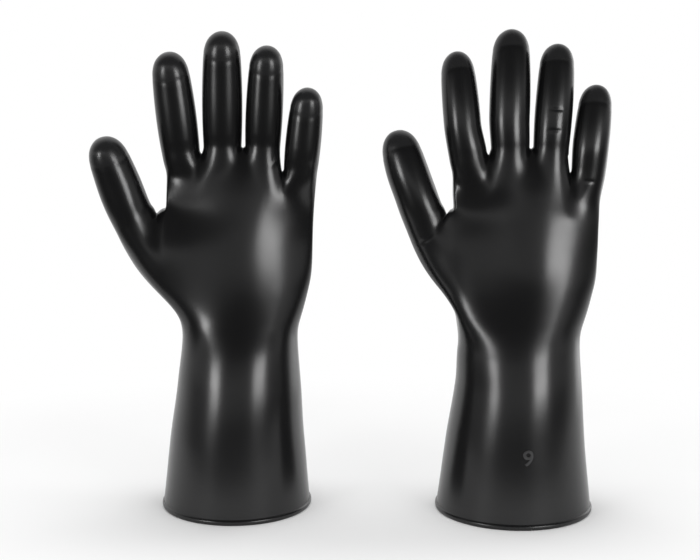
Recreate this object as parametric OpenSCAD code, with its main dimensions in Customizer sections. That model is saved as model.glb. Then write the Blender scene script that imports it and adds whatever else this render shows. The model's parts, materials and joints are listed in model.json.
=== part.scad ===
// A pair of dipped rubber insulating gauntlets, standing upright on their rolled cuffs.
// Each glove is drawn in a frame of its own: +Z runs up the forearm, +X points to the
// little finger and -Y is in front of the palm. The left glove shows its palm to the
// front and the right glove, its mirror image, shows its back.
// One seamless skin is divided at its flex lines: a fold is a short sleeve that bends,
// and the stretches between the folds keep their moulded form.

/* [Rubber] */
// Thickness of the dipped wall
wall = 1; // [0.6:0.1:1.6]
// Clearance across a flex line, between a fold and the piece that swings from it
flex_gap = 0.3; // [0.2:0.05:0.6]

/* [Cuff] */
// Outside diameter of the sleeve at its rim
cuff_d = 108; // [96:1:130]
// Diameter of the rolled bead round the rim
bead_d = 4.6; // [3.6:0.2:7]
// Depth of the flat that the bead stands on, and of the seat on its top
bead_flat = 0.4; // [0.3:0.05:0.6]

/* [Wrist] */
// Height of the narrowest part of the wrist above the foot of the bead
wrist_h = 121; // [100:1:180]
// Breadth of the wrist
wrist_w = 83; // [74:0.5:94]
// Thickness of the wrist, front to back
wrist_t = 79; // [60:1:84]
// Length of the fold that bends at the wrist
wrist_fold = 36; // [32:1:44]

/* [Palm] */
// Breadth of the palm below the knuckles
palm_w = 107; // [98:1:120]
// Thickness of the palm, front to back
palm_t = 44; // [36:1:56]
// Height above the wrist at which the palm reaches its full breadth
palm_rise = 57; // [45:1:70]
// Heights of the finger webs above the wrist: index-middle, middle-ring, ring-little
web_h = [139, 143.5, 126]; // [115:0.5:160]
// Gap between neighbouring finger roots
web_gap = 2.6; // [1.6:0.1:5]

/* [Fingers] */
// Breadth of each finger where it is fullest: index, middle, ring, little
finger_w = [28.8, 28.8, 26.6, 25.6]; // [20:0.2:34]
// Thickness of each finger, front to back
finger_t = [25.6, 25.8, 24, 22.4]; // [18:0.2:32]
// Lean of each finger from the forearm's line, towards the little finger
finger_lean = [-6.5, 0, 2.5, 5]; // [-16:0.5:16]
// Length of each finger between its two folds
finger_shaft = [13.4, 18.4, 11.4, 6.4]; // [4:0.2:30]
// Length of each finger from its middle fold to its tip
finger_tip = [25.5, 30, 27, 20]; // [17:0.5:45]
// Bend of a whole finger towards the palm, as it is moulded
finger_curl = 12; // [4:1:30]

/* [Thumb] */
// Height of the thumb's root above the wrist
thumb_h = 89; // [70:1:105]
// Breadth of the thumb where it is fullest
thumb_w = 31.4; // [24:0.2:38]
// Thickness of the thumb
thumb_t = 28; // [22:0.2:34]
// Lean of the thumb away from the palm
thumb_lean = 22.5; // [10:0.5:40]
// Turn of the thumb about its own length, its pad towards the index finger
thumb_roll = 20; // [0:1:40]
// Set of the thumb's root in front of the palm's middle
thumb_forward = 6; // [0:0.5:12]
// Gap between the palm's edge and the thumb's root
thumb_gap = 2; // [0:0.5:10]
// Length of the thumb between its two folds
thumb_shaft = 12.4; // [4:0.2:30]
// Length of the thumb from its middle fold to its tip
thumb_tip = 22.5; // [18:0.5:36]

/* [Folds] */
// Length of the fold at a digit's root
base_fold = 16; // [14:0.5:22]
// Length of the fold half way along a digit
mid_fold = 17; // [15:0.5:22]
// Distance of a digit's flex line in front of its middle
flex_set = 5; // [3:0.5:7]

/* [Pair] */
// Distance between the two forearms
pair_pitch = 205.5; // [190:0.5:300]
// How far the right glove stands in front of the left
pair_stagger = 10; // [0:1:40]
// Lean of each glove towards its right as seen from the front: left, right
glove_lean = [1, 1.2]; // [0:0.1:4]

/* [Hidden] */
SIDES = ["left", "right"];
DIGITS = ["thumb", "index", "middle", "ring", "little"];
STEMS = ["cuff_bead", "gauntlet", "wrist_fold", "palm"];
DIGIT_PIECES = ["base_fold", "shaft", "mid_fold", "tip"];

rubber = [0.07, 0.07, 0.075];
trunk_sides = 40;
digit_sides = 16;
// Share of a digit's full breadth at its root and where its rounded tip begins
root_share = 0.95;
tip_share = 0.9;
// Bow of the forearm's taper, and squareness of the palm's section
forearm_bow = 0.15;
palm_square = 2.5;
// Angle round the palm's section at which its narrow edges end
edge_angle = 35;
// Height of a finger's root above the higher of its webs, and depth of the webs' rounding
root_rise = 2;
web_round = 4;
// Share of the fingers' thickness at which a web rounds over
web_share = 0.7;
// Depth below the lowest web at which the palm divides into finger roots
web_depth = 22;
// The thumb grows from the palm's edge between these shares of the palm's height
ball_foot = 0.09;
ball_head = 0.89;
// Half sizes of the ball of the thumb, how far below the thumb's root it lies, and the lift of its web
ball_half_w = 17;
ball_half_t = 15;
ball_turn = 30;
ball_lift = 2;
// Set of the palm's back behind its middle where it runs into the ball of the thumb
ball_back = 18;
// Shares of the palm's half breadth at which that run begins, towards the thumb, and is full
ball_near = [0.1, 0.8];

bead_h = bead_d - 2 * bead_flat;
fold_foot = wrist_h - wrist_fold / 2;
fold_head = wrist_h + wrist_fold / 2;
palm_foot = fold_head + flex_gap;
palm_top = wrist_h + min(web_h) - web_depth;

function lerp(a, b, q) = a + (b - a) * q;
function clamp(q) = max(0, min(1, q));
function ease(q) = let (c = clamp(q)) c * c * (3 - 2 * c);
function unit(v) = v / norm(v);
function signed_power(x, p) = sign(x) * pow(abs(x), p);

// Closed section round a centre, with half sizes a along u and b along v, at the given angles
function even_angles(sides) = [for (i = [0 : sides - 1]) 360 * i / sides];
function section(centre, u, v, a, b, angles, square = 2) = [
    for (t = angles)
        centre + u * a * signed_power(cos(t), 2 / square) + v * b * signed_power(sin(t), 2 / square)
];

// Section of the forearm, wrist and palm at height z, drawn in by inset.
// Its points are evenly spread at the wrist and line up with the finger webs in the palm.
function trunk(z, inset) =
    let (
        down = (z - bead_h) / (wrist_h - bead_h),
        taper = down * (1 + forearm_bow * (1 - down)),
        rise = ease((z - wrist_h) / palm_rise),
        a = z < wrist_h ? lerp(cuff_d, wrist_w, taper) / 2 : lerp(wrist_w, palm_w, rise) / 2,
        b = z < wrist_h ? lerp(cuff_d, wrist_t, taper) / 2 : lerp(wrist_t, palm_t, rise) / 2,
        even = even_angles(trunk_sides),
        angles = [for (i = [0 : trunk_sides - 1]) lerp(even[i], column_angle(i), rise)],
        plain = section(
            [0, 0, z], [1, 0, 0], [0, -1, 0], a - inset, b - inset, angles, lerp(2, palm_square, rise)
        )
    )
        [for (i = [0 : trunk_sides - 1]) faired(plain[i], ball_share(z, angles[i]), inset)];

// The palm's edge is drawn out to the faces of the ball of the thumb, most at the ball's own height
function ball_share(z, angle) =
    let (ball_z = (root(0) - along(0) * ball_turn).z)
        ease((z - fold_head) / (ball_z - fold_head))
        * ease((palm_top - z) / (palm_top - ball_z))
        * ease((-cos(angle) - ball_near[0]) / (ball_near[1] - ball_near[0]));
function faired(p, share, inset) =
    [p.x, lerp(p.y, p.y < 0 ? inset - thumb_forward - ball_half_t : ball_back - inset, share), p.z];

// Columns of the palm: two along each narrow edge's front half, then four to a finger, and the same behind
half_columns = trunk_sides / 2;
edge_columns = 2;
finger_columns = (half_columns - 2 * edge_columns) / 4;
// Angle of the palm's section at web k, from the little finger's edge (0) to the index finger's (4)
function web_angle(k) =
    k == 0 ? edge_angle
    : k == 4 ? 180 - edge_angle
    : acos(signed_power(web_x(k) / (palm_w / 2), palm_square / 2));
function front_angle(m) =
    m < edge_columns ? edge_angle * m / edge_columns
    : m > half_columns - edge_columns ? 180 - edge_angle * (half_columns - m) / edge_columns
    : let (q = (m - edge_columns) / finger_columns, k = min(3, floor(q)))
        lerp(web_angle(k), web_angle(k + 1), q - k);
function column_angle(i) = i <= half_columns ? front_angle(i) : 360 - front_angle(trunk_sides - i);

// Sizes of a digit: 0 is the thumb, and 1 to 4 run from the index to the little finger
function digit_w(d) = d == 0 ? thumb_w : finger_w[d - 1];
function digit_t(d) = d == 0 ? thumb_t : finger_t[d - 1];
function digit_lean(d) = d == 0 ? -thumb_lean : finger_lean[d - 1];
function digit_roll(d) = d == 0 ? thumb_roll : 0;
function digit_shaft(d) = d == 0 ? thumb_shaft : finger_shaft[d - 1];
function digit_tip(d) = d == 0 ? thumb_tip : finger_tip[d - 1];
shaft_foot = base_fold + flex_gap;
function mid_foot(d) = shaft_foot + digit_shaft(d);
function tip_foot(d) = mid_foot(d) + mid_fold + flex_gap;
function digit_len(d) = tip_foot(d) + digit_tip(d);
function dome_len(d) = tip_share * digit_w(d) / 2;
function dome_foot(d) = digit_len(d) - dome_len(d);

// Finger roots stand side by side, centred on the forearm, each above its higher web
function root_w(d) = root_share * digit_w(d);
function roots_before(d) =
    d == 1 ? root_w(1) / 2 : roots_before(d - 1) + (root_w(d - 1) + root_w(d)) / 2 + web_gap;
knuckle_w = roots_before(4) + root_w(4) / 2;
// Web k lies between two fingers: 1 is ring-little, 2 is middle-ring and 3 is index-middle
function web_z(k) = wrist_h + web_h[3 - k];
function web_x(k) = (root_edge(4 - k, 1) + root_edge(5 - k, -1)) / 2;
function root_edge(d, way) = roots_before(d) - knuckle_w / 2 + way * root_w(d) / 2;
function root_z(d) = root_rise + max(web_z(min(3, 5 - d)), web_z(max(1, 4 - d)));
thumb_x = -palm_w / 2 - thumb_gap - root_w(0) / 2 / cos(thumb_lean);
function root(d) =
    d == 0 ? [thumb_x, -thumb_forward, wrist_h + thumb_h] : [roots_before(d) - knuckle_w / 2, 0, root_z(d)];

// Directions of a digit at its root: along it, across it, and out of its pad
function along(d) = [sin(digit_lean(d)), 0, cos(digit_lean(d))];
function level(d) = [cos(digit_lean(d)), 0, -sin(digit_lean(d))];
function across(d) = level(d) * cos(digit_roll(d)) + [0, 1, 0] * sin(digit_roll(d));
function pad(d) = [0, -1, 0] * cos(digit_roll(d)) + level(d) * sin(digit_roll(d));

// A digit's middle line is straight below its root and an arc towards the pad above it
function bend(d, s) = s <= 0 ? 0 : finger_curl * s / digit_len(d);
function arc_radius(d) = digit_len(d) / (finger_curl * PI / 180);
function spine(d, s) =
    s <= 0
        ? root(d) + along(d) * s
        : root(d) + (along(d) * sin(bend(d, s)) + pad(d) * (1 - cos(bend(d, s)))) * arc_radius(d);
function pad_at(d, s) = pad(d) * cos(bend(d, s)) - along(d) * sin(bend(d, s));

// Share of the full breadth at distance s along a digit: drawn in at the root, full, drawn in at the tip
function girth(d, s) =
    let (q = clamp(s / dome_foot(d)))
        lerp(root_share, tip_share, q) + (2 - root_share - tip_share) * 2 * q * (1 - q);
function digit_ring(d, s, inset) =
    section(
        spine(d, s), across(d), pad_at(d, s), girth(d, s) * digit_w(d) / 2 - inset,
        girth(d, s) * digit_t(d) / 2 - inset, even_angles(digit_sides)
    );
// Ring of the rounded tip, at an angle from its foot
function dome_ring(d, angle, inset) =
    let (s = dome_foot(d) + (dome_len(d) - inset) * sin(angle))
        section(
            spine(d, s), across(d), pad_at(d, s), (tip_share * digit_w(d) / 2 - inset) * cos(angle),
            (tip_share * digit_t(d) / 2 - inset) * cos(angle), even_angles(digit_sides)
        );

// The palm is one surface: rows of the trunk, with a gap in its edge for the thumb, whose top row divides
// into four loops, one under each finger. A web curve is shared by the loops of the two fingers beside it.
ball_rows = finger_columns;
palm_rows = ball_rows + 3;
function row_z(r, inset) =
    r == 0 ? palm_foot
    : r == palm_rows - 1 ? palm_top
    : lerp(
        lerp(palm_foot, palm_top, ball_foot) + inset, lerp(palm_foot, palm_top, ball_head) - 1.5 * inset,
        (r - 1) / ball_rows
    );
function web_curve(k, inset) =
    let (
        half_t = web_share * (root_share * min(digit_t(4 - k), digit_t(5 - k)) / 2) - inset,
        low = web_z(k) - web_round - inset
    )
        [[web_x(k), -half_t, low], [web_x(k), 0, web_z(k) - 2 * inset], [web_x(k), half_t, low]];

// Numbers of the palm's points, in the order in which palm_points lists them
digit_steps = 3;
web_first = palm_rows * trunk_sides;
rings_first = web_first + 9;
palm_count = rings_first + 5 * digit_steps * digit_sides;
function grid_at(r, i) = r * trunk_sides + (i + trunk_sides) % trunk_sides;
function ring_at(d, step, j) = rings_first + ((d * digit_steps) + step - 1) * digit_sides + j % digit_sides;
// Loop on the palm's top row under finger d: from its side next to the little finger, by the front
function finger_loop(d) =
    let (k = 4 - d, first = edge_columns + finger_columns * k, top = palm_rows - 1)
        concat(
            k == 0 ? [grid_at(top, 0), grid_at(top, 1)] : [web_first + 3 * k - 2, web_first + 3 * k - 3],
            [for (m = [0 : finger_columns]) grid_at(top, first + m)],
            k == 3
                ? [for (m = [-1 : 1]) grid_at(top, half_columns + m)]
                : [for (m = [0 : 2]) web_first + 3 * k + m],
            [for (m = [finger_columns : -1 : 0]) grid_at(top, -first - m)],
            [k == 0 ? grid_at(top, -1) : web_first + 3 * k - 1]
        );
// Loop round the gap in the palm's edge, from its top by the front
function thumb_loop() =
    let (mid = half_columns, top = ball_rows + 1)
        concat(
            [grid_at(top, mid), grid_at(top, mid - 1)],
            [for (r = [top : -1 : 1]) grid_at(r, mid - 2)],
            [for (m = [-1 : 1]) grid_at(1, mid + m)],
            [for (r = [1 : top]) grid_at(r, mid + 2)],
            [grid_at(top, mid + 1)]
        );
function digit_loop(d) = d == 0 ? thumb_loop() : finger_loop(d);

// From its loop a digit's surface runs along a curve, point by point, into the digit's root
function curve_point(start, knee, end, q) = lerp(lerp(start, knee, q), lerp(knee, end, q), q);
function finger_knees(d, loop, ring) = [
    for (j = [0 : digit_sides - 1])
        ring[j] - along(d) * ((ring[j] - loop[j]) * along(d)) / 2
];
function thumb_knees(loop, ring, inset) =
    let (
        angles = even_angles(digit_sides),
        ball = section(
            root(0) - along(0) * ball_turn, across(0), pad(0),
            ball_half_w - inset, ball_half_t - inset, angles
        )
    )
        [
            for (j = [0 : digit_sides - 1])
                lerp((loop[j] + ring[j]) / 2 + [0, 0, ball_lift], ball[j], (1 - cos(angles[j])) / 2)
        ];
function root_rings(d, loop, inset) =
    let (
        ring = digit_ring(d, 0, inset),
        knees = d == 0 ? thumb_knees(loop, ring, inset) : finger_knees(d, loop, ring)
    )
        [
            for (step = [1 : digit_steps])
                for (j = [0 : digit_sides - 1])
                    curve_point(loop[j], knees[j], ring[j], step / digit_steps)
        ];
function palm_points(inset) =
    let (
        stem = concat(
            [for (r = [0 : palm_rows - 1]) each trunk(row_z(r, inset), inset)],
            [for (k = [1 : 3]) each web_curve(k, inset)]
        )
    )
        concat(stem, [for (d = [0 : 4]) each root_rings(d, [for (n = digit_loop(d)) stem[n]], inset)]);

// Triangles between two loops of point numbers of equal length
function loop_faces(lower, upper) = [
    for (j = [0 : len(lower) - 1])
        let (next = (j + 1) % len(lower))
            each [[lower[j], upper[next], lower[next]], [lower[j], upper[j], upper[next]]]
];
function in_gap(r, i) = r >= 1 && r <= ball_rows && abs(i + 0.5 - half_columns) < edge_columns;
palm_skin_faces = concat(
    [
        for (r = [0 : palm_rows - 2])
            for (i = [0 : trunk_sides - 1])
                if (!in_gap(r, i))
                    each [
                        [grid_at(r, i), grid_at(r + 1, i + 1), grid_at(r, i + 1)],
                        [grid_at(r, i), grid_at(r + 1, i), grid_at(r + 1, i + 1)]
                    ]
    ],
    [
        for (d = [0 : 4])
            for (step = [0 : digit_steps - 1])
                each loop_faces(
                    step == 0 ? digit_loop(d) : [for (j = [0 : digit_sides - 1]) ring_at(d, step, j)],
                    [for (j = [0 : digit_sides - 1]) ring_at(d, step + 1, j)]
                )
    ]
);
palm_foot_loop = [for (i = [0 : trunk_sides - 1]) grid_at(0, i)];
function palm_head_loop(d) = [for (j = [0 : digit_sides - 1]) ring_at(d, digit_steps, j)];
function shifted(loop) = [for (n = loop) n + palm_count];
palm_faces = concat(
    palm_skin_faces,
    [for (f = palm_skin_faces) [f[2] + palm_count, f[1] + palm_count, f[0] + palm_count]],
    loop_faces(shifted(palm_foot_loop), palm_foot_loop),
    [for (d = [0 : 4]) each loop_faces(palm_head_loop(d), shifted(palm_head_loop(d)))]
);

// Places a point of the glove's own frame in the pair: mirrored on the right, leaning and set apart
function leaned(p, side) = [p.x + tan(glove_lean[side]) * (p.z - bead_h), side == 0 ? p.y : -p.y, p.z];
// Every x that the outside of a digit reaches: the pair is centred between its outermost digits
function digit_x(d, side) =
    let (
        shaft = [for (s = [0 : 2 : dome_foot(d)]) each digit_ring(d, s, 0)],
        dome = [for (angle = [0 : 5 : 90]) each dome_ring(d, angle, 0)]
    )
        [for (p = concat(shaft, dome)) leaned(p, side).x];
pair_centre = (min(digit_x(0, 0)) + max(digit_x(4, 1))) / 2;
function stand(side) = [(side - 0.5) * pair_pitch - pair_centre, (0.5 - side) * pair_stagger, 0];
function placed(points, side) = [for (p = points) leaned(p, side) + stand(side)];

// Flex lines for the joints: a point on the line, and its direction, positive towards the palm
function turned(v, side) = unit([v.x + tan(glove_lean[side]) * v.z, side == 0 ? v.y : -v.y, v.z]);
function flex_axis(d, side) = turned(across(d), side) * (side == 0 ? 1 : -1);
function flex_point(d, s, side) = placed([spine(d, s) + pad_at(d, s) * flex_set], side)[0];
function base_flex(d, side) = [flex_point(d, base_fold / 2, side), flex_axis(d, side)];
function mid_flex(d, side) = [flex_point(d, mid_foot(d) + mid_fold / 2, side), flex_axis(d, side)];
function wrist_flex(side) = [placed([[0, 0, wrist_h]], side)[0], [side == 0 ? 1 : -1, 0, 0]];

// Triangles between rings of equal count, joined in order, and in a loop if the last meets the first
function strip_faces(rings, sides, looped) = [
    for (j = [0 : rings - (looped ? 1 : 2)])
        for (i = [0 : sides - 1])
            let (
                a = j * sides + i,
                b = j * sides + (i + 1) % sides,
                c = (j + 1) % rings * sides + (i + 1) % sides,
                e = (j + 1) % rings * sides + i
            )
                each [[a, b, c], [a, c, e]]
];
function fan_faces(first, centre, sides, up) = [
    for (i = [0 : sides - 1])
        let (a = first + i, b = first + (i + 1) % sides)
            up ? [a, b, centre] : [b, a, centre]
];
function wound(faces, side) = side == 1 ? faces : [for (f = faces) [f[2], f[1], f[0]]];

// Wall of an open sleeve, from its outside rings and its inside rings, both from foot to head
module sleeve(outside, inside, side) {
    rings = concat(inside, [for (i = [len(outside) - 1 : -1 : 0]) outside[i]]);
    sides = len(rings[0]);
    points = placed([for (r = rings) each r], side);
    faces = strip_faces(len(rings), sides, true);
    polyhedron(points, wound(faces, side));
}

// Wall of a closed tip: rings inside from the foot to the end point, and outside likewise
module cup(outside, outside_end, inside, inside_end, side) {
    rings = concat([for (i = [len(inside) - 1 : -1 : 0]) inside[i]], outside);
    sides = len(rings[0]);
    count = len(rings);
    points = placed(concat([for (r = rings) each r], [inside_end, outside_end]), side);
    faces = concat(
        [for (f = strip_faces(count, sides, false)) [f[2], f[1], f[0]]],
        fan_faces(0, count * sides, sides, true),
        fan_faces((count - 1) * sides, count * sides + 1, sides, false)
    );
    polyhedron(points, wound(faces, side));
}

module cuff_bead(side) {
    color(rubber)
        translate(stand(side) + [0, 0, bead_h / 2])
            rotate_extrude($fn = 96)
                translate([(cuff_d - wall) / 2, 0])
                    intersection() {
                        circle(d = bead_d, $fn = 32);
                        square([bead_d, bead_h], center = true);
                    }
}

module trunk_sleeve(heights, side) {
    color(rubber)
        sleeve([for (z = heights) trunk(z, 0)], [for (z = heights) trunk(z, wall)], side);
}

module gauntlet(side) {
    steps = 3;
    trunk_sleeve([for (i = [0 : steps]) lerp(bead_h, fold_foot, i / steps)], side);
}

module wrist_fold(side) {
    steps = 3;
    trunk_sleeve([for (i = [0 : steps]) lerp(fold_foot, fold_head, i / steps)], side);
}

module palm(side) {
    color(rubber)
        polyhedron(placed(concat(palm_points(0), palm_points(wall)), side), wound(palm_faces, side));
}

module digit_sleeve(d, foot, head, steps, side) {
    stations = [for (i = [0 : steps]) lerp(foot, head, i / steps)];
    color(rubber)
        sleeve([for (s = stations) digit_ring(d, s, 0)], [for (s = stations) digit_ring(d, s, wall)], side);
}

module digit_base_fold(d, side) {
    digit_sleeve(d, 0, base_fold, 1, side);
}

module digit_shaft_sleeve(d, side) {
    digit_sleeve(d, shaft_foot, mid_foot(d), 1, side);
}

module digit_mid_fold(d, side) {
    digit_sleeve(d, mid_foot(d), mid_foot(d) + mid_fold, 1, side);
}

module digit_end(d, side) {
    angles = [0, 30, 55, 75];
    foot = tip_foot(d);
    color(rubber)
        cup(
            concat([digit_ring(d, foot, 0)], [for (a = angles) dome_ring(d, a, 0)]), spine(d, digit_len(d)),
            concat([digit_ring(d, foot, wall)], [for (a = angles) dome_ring(d, a, wall)]),
            spine(d, digit_len(d) - wall), side
        );
}

for (side = [0, 1]) {
    name = SIDES[side];
    cuff_bead(side);
    gauntlet(side);
    wrist_fold(side);
    palm(side);
    for (d = [0 : 4]) {
        digit_base_fold(d, side);
        digit_shaft_sleeve(d, side);
        digit_mid_fold(d, side);
        digit_end(d, side);
    }
}
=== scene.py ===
# %% [markdown]
# # A pair of insulating gauntlets in black dipped rubber
#
# A former in the shape of a hand is dipped in rubber again and again, and the skin that dries on it is
# peeled off: so each glove is one seamless sheet, closed at five tips and open at a rolled rim.
# This lesson models that sheet once as a cage of rings, rounds it with Subdivision Surface, softens its
# roots, presses in its small lines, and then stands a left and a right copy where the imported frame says.

import json
import math

import bmesh
import bpy
import numpy as np
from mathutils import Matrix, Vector


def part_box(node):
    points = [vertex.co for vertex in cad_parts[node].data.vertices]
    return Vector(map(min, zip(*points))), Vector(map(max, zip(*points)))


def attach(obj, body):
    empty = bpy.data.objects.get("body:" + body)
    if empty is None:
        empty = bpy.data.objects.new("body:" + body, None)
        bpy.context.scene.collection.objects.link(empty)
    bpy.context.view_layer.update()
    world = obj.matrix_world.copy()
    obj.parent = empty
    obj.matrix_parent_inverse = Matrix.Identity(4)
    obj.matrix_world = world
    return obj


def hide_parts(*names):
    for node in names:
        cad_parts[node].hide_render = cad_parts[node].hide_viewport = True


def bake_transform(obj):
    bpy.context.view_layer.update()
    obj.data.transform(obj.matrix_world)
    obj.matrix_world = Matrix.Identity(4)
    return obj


MM = 0.001
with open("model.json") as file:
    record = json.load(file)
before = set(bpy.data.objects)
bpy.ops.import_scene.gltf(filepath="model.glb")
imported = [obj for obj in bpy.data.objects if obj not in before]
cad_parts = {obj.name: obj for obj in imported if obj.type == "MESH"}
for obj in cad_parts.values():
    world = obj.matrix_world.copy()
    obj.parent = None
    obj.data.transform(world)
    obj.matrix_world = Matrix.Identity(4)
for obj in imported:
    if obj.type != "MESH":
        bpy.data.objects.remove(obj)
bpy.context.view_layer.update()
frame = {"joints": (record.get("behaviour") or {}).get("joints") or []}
joints = {joint["name"]: joint for joint in frame["joints"]}

# %% [markdown]
# ## The sizes of one glove
#
# Sizes are the glove's own, in millimetres, in a frame of its own: +Z runs up the forearm, +X points to the
# little finger and -Y is in front of the palm. The frame gives where each glove stands and how far it leans.
# Names in _W, _T and _D are breadths, thicknesses and diameters, those in _H and _Z are heights, and a change
# goes from _FOOT to _HEAD.

# %% Sizes of the rim, the sleeve and the wrist
BEAD_H, BEAD_D = 3.8, 4.6
CUFF_D, WALL = 108.0, 1.0
WRIST_H, WRIST_W = 121.0, 83.0
# the outline is narrowest here, on the thumb's side and on the little finger's side
THUMB_WAIST_H, LITTLE_WAIST_H = 131.0, 125.0
# the sleeve's outline bows a little, and its depth shrinks at a slope and then faster towards the wrist
FOREARM_BOW = 0.15
SLEEVE_SLOPE, WRIST_BOW, BOW_FOOT = 0.0875, 0.0031, 65.0
# a slight swell over the back of the wrist, as a share of its depth
SWELL, SWELL_Z, SWELL_HALF_H = 0.05, 146.0, 22.0
print("Wrist and cuff (mm):", WRIST_W, CUFF_D)

# %% Sizes of the palm
PALM_W, PALM_RISE, HEEL_HEAD = 107.0, 50.0, 192.0
PALM_SQUARE, PALM_SLOPE = 2.15, 0.11
# towards the knuckles the palm thins, its index edge goes in and its little finger's edge goes out
KNUCKLE_T, KNUCKLE_Z, KNUCKLE_FOOT = 33.0, 242.0, 205.0
KNUCKLE_DROP, DROP_FOOT = 2.6, 208.0
INDEX_IN, LITTLE_OUT = 1.2, 1.5
# front and back fall away from a ridge, which lies this share of the half breadth towards the thumb
PALM_FALL, PALM_RIDGE = 0.95, 0.24
BACK_FALL, BACK_RIDGE = 0.75, 0.1
THUMB_FALL = 0.5
# the fall sets in above the wrist and eases off towards the knuckles, where the edge is set back less
FALL_RISE, FALL_BACK, FALL_HEAD = 85.0, 0.3, 214.0
EDGE_BACK, EDGE_RUN = 5.0, 28.0
# the ball of the thumb: its depth in front and behind, which grows downwards, and where it is full
BALL_FRONT, BALL_BACK, BALL_SHARE = 20.5, 11.5, 0.92
BALL_FRONT_SLOPE, BALL_BACK_SLOPE, BALL_Z = 0.22, 0.36, 178.0
BALL_NEAR, BALL_FULL = -0.2, 0.8
BALL_FOOT, BALL_LOW, BALL_HIGH, BALL_HEAD = 120.0, 174.0, 222.0, 250.0
print("Palm and knuckles (mm):", PALM_W, KNUCKLE_T)

# %% Sizes of the five digits, from the thumb to the little finger
DIGITS = ["thumb", "index", "middle", "ring", "little"]
WIDTH = dict(zip(DIGITS, [31.4, 28.8, 28.8, 26.6, 25.6]))
THICK = dict(zip(DIGITS, [28.0, 25.6, 25.8, 24.0, 22.4]))
LEAN = dict(zip(DIGITS, [-22.5, -6.5, 0.0, 2.5, 5.0]))
ROLL = dict(zip(DIGITS, [20.0, 0.0, 0.0, 0.0, 0.0]))
SHAFT = dict(zip(DIGITS, [12.4, 13.4, 18.4, 11.4, 6.4]))
TIP = dict(zip(DIGITS, [22.5, 25.5, 30.0, 27.0, 20.0]))
CURL = 15.0
BASE_FOLD, MID_FOLD, FLEX_GAP = 16.0, 17.0, 0.3
ROOT_SHARE, TIP_SHARE = 0.95, 0.9
# a web lies at the foot of the gap between two fingers, and is named for the one nearer to the thumb
WEB_GAP, ROOT_RISE = 2.6, 2.0
WEB_Z = {"index": 260.0, "middle": 264.5, "ring": 247.0}
THUMB_ROOT_Z, THUMB_FORWARD, THUMB_GAP = 210.0, 6.0, 2.0


def mid_foot(digit):
    return BASE_FOLD + FLEX_GAP + SHAFT[digit]


def length(digit):
    return mid_foot(digit) + MID_FOLD + FLEX_GAP + TIP[digit]


def dome_length(digit):
    return TIP_SHARE * WIDTH[digit] / 2


def dome_foot(digit):
    """Distance from a digit's root to where its tip rounds."""
    return length(digit) - dome_length(digit)


print("Digit lengths (mm):", {digit: round(length(digit), 1) for digit in DIGITS})

# %% Where the digits are rooted
root_x = {}
edge = 0.0
for digit in DIGITS[1:]:
    root_x[digit] = edge + ROOT_SHARE * WIDTH[digit] / 2
    edge += ROOT_SHARE * WIDTH[digit] + WEB_GAP
knuckle_w = edge - WEB_GAP
root_x = {digit: x - knuckle_w / 2 for digit, x in root_x.items()}
thumb_half_w = ROOT_SHARE * WIDTH["thumb"] / 2 / math.cos(math.radians(LEAN["thumb"]))
root_x["thumb"] = -PALM_W / 2 - THUMB_GAP - thumb_half_w
root_z = {"thumb": THUMB_ROOT_Z}
for digit, webs_beside in zip(DIGITS[1:], ["index", "index middle", "middle ring", "ring"]):
    root_z[digit] = ROOT_RISE + max(WEB_Z[web] for web in webs_beside.split())
ROOT = {
    digit: Vector((root_x[digit], -THUMB_FORWARD if digit == "thumb" else 0.0, root_z[digit]))
    for digit in DIGITS
}
print("Breadth over the roots (mm):", round(knuckle_w, 1))

# %% [markdown]
# ## Rings: the sections of the skin
#
# A hand could be carved out of a block, or blown together from balls and remeshed. Rings are chosen here,
# because a section through a sleeve, a palm or a finger has a size that can be measured, and rings that are
# bridged to each other give clean rows of four-sided faces. Subdivision draws a ring in a little, by a share
# that depends only on how many points it has, so every ring is drawn that much larger.

# %% Helpers for sections
TRUNK_POINTS, DIGIT_POINTS = 30, 12
RING_START = 45.0


def drawn_in(points):
    """Share of a ring's size that is left after subdivision."""
    return (4 + 2 * math.cos(2 * math.pi / points)) / 6


def ramp(value, foot, head):
    """Eases from 0 at foot to 1 at head, which may be the lower of the two."""
    q = np.clip((value - foot) / (head - foot), 0, 1)
    return q * q * (3 - 2 * q)


def mix(a, b, q):
    return a + (b - a) * q


def column_angle(column):
    """Columns of the trunk run from the little finger's edge, by the front, to the thumb's, and on behind."""
    return math.radians(360 * (column + 0.5) / TRUNK_POINTS)


def ring_angle(j):
    """Points of a digit's ring run from between its pad and its little finger's side, by the pad."""
    return math.radians(RING_START + 360 * j / DIGIT_POINTS)


# %% Sections of the sleeve, the wrist and the palm
def sleeve_width(z, waist_h):
    down = (z - BEAD_H) / (waist_h - BEAD_H)
    return mix(CUFF_D, WRIST_W, down * (1 + FOREARM_BOW * (1 - down)))


def half_thickness(z):
    """The sleeve is steep and bows in towards the wrist, the heel is short, and the palm thins steadily."""
    if z < WRIST_H:
        return CUFF_D / 2 - SLEEVE_SLOPE * (z - BEAD_H) - WRIST_BOW / 2 * max(0.0, z - BOW_FOOT) ** 2
    palm_line = KNUCKLE_T / 2 + PALM_SLOPE * (KNUCKLE_Z - z)
    palm_line -= KNUCKLE_DROP * (max(0.0, z - DROP_FOOT) / (KNUCKLE_Z - DROP_FOOT)) ** 2
    wrist = CUFF_D / 2 - SLEEVE_SLOPE * (WRIST_H - BEAD_H) - WRIST_BOW / 2 * (WRIST_H - BOW_FOOT) ** 2
    wrist_line = wrist - (SLEEVE_SLOPE + WRIST_BOW * (WRIST_H - BOW_FOOT)) * (z - WRIST_H)
    return mix(wrist_line, palm_line, ramp(z, WRIST_H, HEEL_HEAD))


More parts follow.
